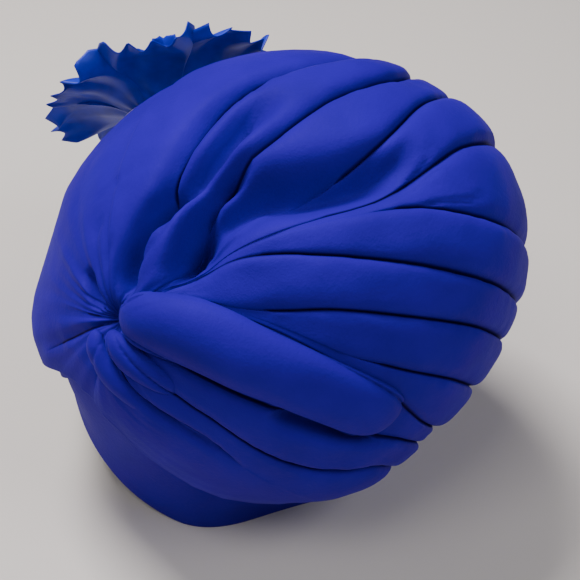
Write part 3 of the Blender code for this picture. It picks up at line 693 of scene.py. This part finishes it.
# Side roll and knot
# The widest pleat is a padded roll with a round head that covers the gather, stitched down along
# both sides. Two small folded tips of the same cloth lie below its head.
ROLL = np.array([
    # distance from the gather in degrees, turn in degrees, half width and height in m
    (2.0, 60, 0.0060, 0.0050),
    (5.0, 64, 0.0120, 0.0095),
    (12.0, 70, 0.0150, 0.0118),
    (20.0, 74.5, 0.0168, 0.0122),
    (30.0, 80.4, 0.0168, 0.0120),
    (41.0, 83.7, 0.0160, 0.0110),
    (51.0, 86.3, 0.0158, 0.0105),
    (58.0, 88, 0.0158, 0.0098),
    (64.0, 89, 0.0140, 0.0080),
])
ROLL_GRID, TUCK_GRID = (150, 48), (48, 28)
ROLL_SINK, TUCK_SINK = 0.0012, 0.0008
ROLL_WALL, TUCK_WALL = 0.0010, 0.0008
ROLL_SQUARE_END, TUCK_SQUARE_END = 10.0, 5.0
STRIP_UNEVENNESS, STRIP_UNEVEN_SIZE = 0.0009, 0.022
STRIP_ROUNDNESS = 0.85
NARROWED_END = 0.35
AHEAD = 0.02
TUCKS = [
    # name, and distance from the gather, turn, half width in m and height in m along it
    ("knot_tuck_upper", np.array([
        (2.0, 165, 0.0040, 0.0045), (5.0, 145, 0.0068, 0.0062), (9.0, 130, 0.0078, 0.0056),
        (14.0, 120, 0.0072, 0.0036), (20.0, 114, 0.0050, 0.0008),
    ])),
    ("knot_tuck_lower", np.array([
        (5.0, -142, 0.0040, 0.0034), (8.0, -162, 0.0062, 0.0050), (11.0, 176, 0.0066, 0.0044),
        (15.0, 158, 0.0058, 0.0028), (20.0, 146, 0.0040, 0.0006),
    ])),
]


def place_on_crown(points):
    """Turn and distance of points about the gather."""
    directions = unit(points - HUB)
    distance = np.degrees(np.arccos(np.clip(directions @ AXIS, -1.0, 1.0)))
    return np.degrees(np.arctan2(directions @ TURN_BACK, directions @ TURN_UP)), distance


def cloth_under(turn, distance):
    """Height of the pleated cloth at any place on the crown, with the pocket under the roll bridged."""
    lift = np.zeros(len(turn))
    for index in range(len(SEAMS)):
        row = np.full(len(turn), index)
        start, stop = seam_turn(row, distance), seam_turn(row + 1, distance)
        inside = (turn - start) % 360.0
        here = inside <= stop - start
        share = inside[here] / (stop - start)[here]
        lift[here] = pleat_form(row[here], share, distance[here])[0]
    return lift + fold_lift(crown_points(turn, distance, 0.0 * turn), "pocket")


def puffed_strip(name, node, stations, grid, square_end, sink, wall):
    """A puffed strip over the crown. A station gives distance, turn, half width and height."""
    sheet, flat = flat_grid(*grid)
    part, side = flat[:, 1], 2.0 * flat[:, 0] - 1.0
    first, last = stations[0, 0], stations[-1, 0]

    def line(share):
        distance = first + (last - first) * np.clip(share, 0.0, 1.0)
        values = [smooth_curve(stations[:, 0], stations[:, item], distance) for item in (1, 2, 3)]
        return crown_points(values[0], distance, 0.0 * distance), values[1], values[2]

    middle, half_width, height = line(part)
    ahead, behind = line(part + AHEAD)[0], line(part - AHEAD)[0]
    cross = unit(np.cross(ahead - behind, unit(middle - HUB)))
    ends = np.sqrt(np.clip(1.0 - np.abs(2.0 * part - 1.0) ** square_end, 0.0, 1.0))
    swing = side * math.pi / 2.0
    width = half_width * np.sin(swing) * (NARROWED_END + (1.0 - NARROWED_END) * ends)
    aim = middle + cross * width[:, None]
    turn, distance = place_on_crown(aim)
    puff = height * ends * np.cos(swing) ** STRIP_ROUNDNESS
    lift = cloth_under(turn, distance) - sink * (1.0 - np.cos(swing) * ends) + puff
    points = crown_points(turn, distance, lift)
    lift += STRIP_UNEVENNESS * waver(points, STRIP_UNEVEN_SIZE, seed=7.0) * ends
    move_to(sheet, crown_points(turn, distance, lift))
    strip = finish_piece(name, sheet, turban_knit, [node])
    mark_seams(strip, np.full(len(flat), NO_STITCH))
    give_wall(strip, wall, -1.0)


puffed_strip("side_roll_cloth", "side_roll", ROLL, ROLL_GRID, ROLL_SQUARE_END, ROLL_SINK, ROLL_WALL)
for name, stations in TUCKS:
    stations[:, 1] %= 360.0
    puffed_strip(name + "_cloth", name, stations, TUCK_GRID, TUCK_SQUARE_END, TUCK_SINK, TUCK_WALL)

# Bloom
# A gathered flower of satin ribbon petals, cut with pointed edges and cupped around one another,
# sewn to a pale round of felt that holds it on the crown's right front.
FLOWER_AZIMUTH = math.radians(-51.0)
FLOWER_ELEVATION = math.radians(28.0)
BLOOM_AXIS_AZIMUTH = math.radians(-57.0)
BLOOM_AXIS_ELEVATION = math.radians(33.0)
FLOWER_STAND_OFF = 0.0112
BACKING_RADIUS = 0.030
BACKING_THICKNESS = 0.0020
BACKING_SIDES = 72
BACKING_ROUNDING = 0.0007
SAME_HEIGHT = 0.000001
PETAL_RINGS = [
    # name, petals, root radius, length and half width in m, opening from the axis in degrees
    ("outer_petal", 7, 0.0190, 0.054, 0.0340, 78),
    ("middle_petal", 6, 0.0110, 0.038, 0.0250, 56),
    ("inner_petal", 5, 0.0050, 0.027, 0.0145, 32),
]
PETAL_WALL = 0.0006
PETAL_SEAT = 0.0006
PETAL_OVERLAP = 1.05
FOOT_WIDTH = 0.22
WIDENING_STOPS, WIDENING_POWER, WIDENING_TURN = 0.95, 0.9, 0.62
TIP_NARROWING = 0.22
PETAL_POINTS = 4
POINTS_START, POINT_DEPTH, POINT_SHARPNESS = 0.72, 0.13, 1.6
POINT_MIDDLE, POINT_SHIFT = 0.45, 0.37
CORNER_SHORTENING = 0.05
OPENING_AT_FOOT = 0.55
CUP_DEPTH = 0.010
RUFFLE_HEIGHT, RUFFLE_SIZE = 0.0080, 0.9
RUFFLE_ACROSS, RUFFLE_ALONG = 1.7, 1.3
EDGE_WAVE_HEIGHT, EDGE_WAVES = 0.0016, 4.5
FOOT_GATHER_HEIGHT, FOOT_GATHERS, FOOT_GATHER_LENGTH = 0.0006, 13.0, 0.3
CENTRE_RADIUS = 0.0056
CENTRE_SEAT = 0.0004
CENTRE_CREASES, CENTRE_CREASE_DEPTH = 7.0, 0.10
SATIN_BLUE = (0.0160, 0.0320, 0.520)
SATIN_DEEP = (0.0090, 0.0180, 0.340)
FELT_PALE = (0.75, 0.75, 0.80)
FELT_DEEP = (0.42, 0.43, 0.50)


def satin(name, colour, deep_colour):
    """Satin ribbon: smooth and bright along its folds, with a very fine even weave."""
    material, nodes, links, shader = blank_material(name)
    set_inputs(shader, {
        "Sheen Weight": 0.05, "Sheen Tint": (0.3, 0.5, 1.0, 1.0),
        "Specular IOR Level": 0.22, "Anisotropic": 0.4,
    })
    place = nodes.new("ShaderNodeTexCoord")
    cloud = add_node(nodes, "ShaderNodeTexNoise", {"Scale": 90.0, "Detail": 6.0})
    weave = add_node(nodes, "ShaderNodeTexNoise", {"Scale": 1500.0})
    for texture in (cloud, weave):
        links.new(place.outputs["Object"], texture.inputs["Vector"])
    dye = dye_ramp(nodes, (0.30, deep_colour), (0.68, colour))
    links.new(cloud.outputs["Fac"], dye.inputs["Fac"])
    links.new(dye.outputs["Color"], shader.inputs["Base Color"])
    shine = add_node(nodes, "ShaderNodeMapRange", {"To Min": 0.32, "To Max": 0.50})
    links.new(cloud.outputs["Fac"], shine.inputs["Value"])
    links.new(shine.outputs["Result"], shader.inputs["Roughness"])
    bump = add_node(nodes, "ShaderNodeBump", {"Strength": 0.25, "Distance": 0.0002})
    links.new(weave.outputs["Fac"], bump.inputs["Height"])
    links.new(bump.outputs["Normal"], shader.inputs["Normal"])
    return material


def bloom_place():
    """Place and turn of the bloom on the crown."""
    direction = compass(FLOWER_AZIMUTH, FLOWER_ELEVATION)
    point = HUB + direction * (reach(HUB, direction[None, :])[0] + FLOWER_STAND_OFF)
    turn = Vector(compass(BLOOM_AXIS_AZIMUTH, BLOOM_AXIS_ELEVATION)).to_track_quat("Z", "Y")
    return Matrix.Translation(Vector(point + HAT_MIDDLE)) @ turn.to_matrix().to_4x4()


bloom_satin = satin("bloom_satin", SATIN_BLUE, SATIN_DEEP)
bloom_matrix = bloom_place()


def petal_sheet(count, index, root, length, half_width, opening, seed):
    """A cupped petal, gathered at its foot, with a row of cut points along its edge."""
    sheet, flat = flat_grid(along=28, across=40)
    side, part = 2.0 * flat[:, 0] - 1.0, flat[:, 1]
    turn = 2.0 * math.pi * (index + 0.5 * (count % 2)) / count
    widening = np.sin(math.pi * np.minimum(part, WIDENING_STOPS) ** WIDENING_POWER * WIDENING_TURN)
    wide = half_width * (FOOT_WIDTH + (1.0 - FOOT_WIDTH) * widening)
    wide *= 1.0 - TIP_NARROWING * part**4
    tooth = np.abs(((side + 1.0) * PETAL_POINTS / 2.0 + POINT_SHIFT * seed) % 1.0 * 2.0 - 1.0)
    cut = np.clip((part - POINTS_START) / (1.0 - POINTS_START), 0.0, 1.0)
    cut *= POINT_DEPTH * (tooth**POINT_SHARPNESS - POINT_MIDDLE)
    run = length * (part + cut - CORNER_SHORTENING * np.abs(side) * part)
    curl = math.radians(opening) * (OPENING_AT_FOOT + (1.0 - OPENING_AT_FOOT) * part)
    radius = root + run * np.sin(curl)
    away = np.stack([side * RUFFLE_ACROSS, part * RUFFLE_ALONG, np.full(len(side), seed)], axis=1)
    ruffle = RUFFLE_HEIGHT * part * waver(away, RUFFLE_SIZE, seed)
    ruffle += EDGE_WAVE_HEIGHT * part**2 * np.sin(side * EDGE_WAVES + seed)
    gathers = FOOT_GATHER_HEIGHT * np.sin(side * FOOT_GATHERS + seed)
    gathers *= np.exp(-((part / FOOT_GATHER_LENGTH) ** 2))
    foot = BACKING_THICKNESS + PETAL_SEAT
    rise = foot + run * np.cos(curl) + CUP_DEPTH * side**2 * part + ruffle + gathers
    limit = math.pi / count * PETAL_OVERLAP
    arc = np.clip(side * wide / np.maximum(radius, root), -limit, limit)
    for vert, r, a, z in zip(sheet.verts, radius, turn + arc, np.maximum(rise, foot)):
        vert.co = bloom_matrix @ Vector((r * math.cos(a), r * math.sin(a), z))
    return sheet


seed = 0
for name, count, *sizes in PETAL_RINGS:
    for index in range(count):
        seed += 1
        sheet = petal_sheet(count, index, *sizes, seed)
        node = f"{name}_{index + 1}"
        petal = finish_piece(node + "_satin", sheet, bloom_satin, [node])
        give_wall(petal, PETAL_WALL, 0.0)

sheet = bmesh.new()
bmesh.ops.create_icosphere(sheet, subdivisions=4, radius=CENTRE_RADIUS)
for vert in sheet.verts:
    crease = CENTRE_CREASE_DEPTH * math.sin(CENTRE_CREASES * math.atan2(vert.co.y, vert.co.x))
    vert.co *= 1.0 + crease * (1.0 - abs(vert.co.z) / CENTRE_RADIUS)
centre_height = BACKING_THICKNESS + CENTRE_RADIUS + CENTRE_SEAT
bmesh.ops.translate(sheet, verts=sheet.verts, vec=(0.0, 0.0, centre_height))
bmesh.ops.transform(sheet, matrix=bloom_matrix, verts=sheet.verts)
finish_piece("bloom_centre", sheet, bloom_satin, ["flower_centre"])

felt, nodes, links, shader = blank_material("backing_felt")
set_inputs(shader, {"Sheen Weight": 0.4, "Roughness": 0.9})
place = nodes.new("ShaderNodeTexCoord")
fibre = add_node(nodes, "ShaderNodeTexNoise", {"Scale": 700.0, "Detail": 6.0})
links.new(place.outputs["Object"], fibre.inputs["Vector"])
dye = dye_ramp(nodes, (0.0, FELT_DEEP), (1.0, FELT_PALE))
links.new(fibre.outputs["Fac"], dye.inputs["Fac"])
links.new(dye.outputs["Color"], shader.inputs["Base Color"])
bump = add_node(nodes, "ShaderNodeBump", {"Strength": 0.5, "Distance": 0.0005})
links.new(fibre.outputs["Fac"], bump.inputs["Height"])
links.new(bump.outputs["Normal"], shader.inputs["Normal"])

sheet = bmesh.new()
bmesh.ops.create_cone(
    sheet, cap_ends=True, segments=BACKING_SIDES, radius1=BACKING_RADIUS, radius2=BACKING_RADIUS,
    depth=BACKING_THICKNESS, matrix=Matrix.Translation((0.0, 0.0, BACKING_THICKNESS / 2.0)),
)
rim = [edge for edge in sheet.edges if abs(edge.verts[0].co.z - edge.verts[1].co.z) < SAME_HEIGHT]
bmesh.ops.bevel(
    sheet, geom=rim, affect="EDGES", offset=BACKING_ROUNDING, segments=3, profile=0.5, material=-1,
)
bmesh.ops.transform(sheet, matrix=bloom_matrix, verts=sheet.verts)
finish_piece("bloom_backing", sheet, felt, ["flower_backing"])

# Camera, floor and light
# The hat is seen from its left and from above, on a plain pale floor. A large soft lamp stands above
# its right front, and two weaker ones at its back and its left.
CAMERA_AZIMUTH = math.radians(105.0)
CAMERA_ELEVATION = math.radians(43.0)
CAMERA_DISTANCE = 0.62
CAMERA_TARGET = Vector((0.0, 0.030, 0.105)) + Vector(HAT_MIDDLE)
PHOTO_SIDE = 580
FOCAL_PIXELS = 1116.0
OPTICAL_AXIS = (275.0, 300.0)
SENSOR_WIDTH = 36.0
NEAREST_SEEN = 0.02
FLOOR_SIDE = 6.0
FLOOR_COLOUR = (0.70, 0.66, 0.64, 1.0)
FLOOR_ROUGHNESS = 0.85
LAMP_AIM_HEIGHT = 0.12
LAMPS = [
    # name, azimuth and elevation in degrees, distance and side in m, power in W, colour
    ("top_lamp", -30.0, 68.0, 1.5, 0.50, 31.0, (1.0, 0.97, 0.94)),
    ("back_lamp", 165.0, 48.0, 1.8, 0.7, 9.0, (0.98, 0.98, 1.0)),
    ("left_lamp", 70.0, 62.0, 1.8, 0.7, 9.0, (1.0, 0.98, 0.95)),
]
ROOM_COLOUR = (0.95, 0.93, 1.0, 1.0)
ROOM_STRENGTH = 0.05

camera_data = bpy.data.cameras.new("camera")
camera_data.sensor_width = SENSOR_WIDTH
camera_data.lens = SENSOR_WIDTH * FOCAL_PIXELS / PHOTO_SIDE
camera_data.shift_x = (PHOTO_SIDE / 2.0 - OPTICAL_AXIS[0]) / PHOTO_SIDE
camera_data.shift_y = (OPTICAL_AXIS[1] - PHOTO_SIDE / 2.0) / PHOTO_SIDE
camera_data.clip_start = NEAREST_SEEN
camera = bpy.data.objects.new("camera", camera_data)
bpy.context.scene.collection.objects.link(camera)
sight = Vector(compass(CAMERA_AZIMUTH, CAMERA_ELEVATION))
camera.location = CAMERA_TARGET + sight * CAMERA_DISTANCE
camera.rotation_euler = sight.to_track_quat("Z", "Y").to_euler()
bpy.context.scene.camera = camera

floor_material, _, _, shader = blank_material("pale_floor")
set_inputs(shader, {"Base Color": FLOOR_COLOUR, "Roughness": FLOOR_ROUGHNESS})
sheet = bmesh.new()
bmesh.ops.create_grid(sheet, x_segments=1, y_segments=1, size=FLOOR_SIDE / 2.0)
floor_mesh = bpy.data.meshes.new("floor")
sheet.to_mesh(floor_mesh)
sheet.free()
floor_mesh.materials.append(floor_material)
floor = bpy.data.objects.new("floor", floor_mesh)
bpy.context.scene.collection.objects.link(floor)

for name, azimuth, elevation, distance, side, power, colour in LAMPS:
    light = bpy.data.lights.new(name, "AREA")
    light.size = side
    light.energy = power
    light.color = colour
    direction = Vector(compass(math.radians(azimuth), math.radians(elevation)))
    lamp = bpy.data.objects.new(name, light)
    lamp.location = Vector(HAT_MIDDLE) + Vector((0.0, 0.0, LAMP_AIM_HEIGHT)) + direction * distance
    lamp.rotation_euler = direction.to_track_quat("Z", "Y").to_euler()
    bpy.context.scene.collection.objects.link(lamp)

world = bpy.data.worlds.new("soft_room")
world.use_nodes = True
set_inputs(world.node_tree.nodes["Background"], {"Color": ROOM_COLOUR, "Strength": ROOM_STRENGTH})
bpy.context.scene.world = world
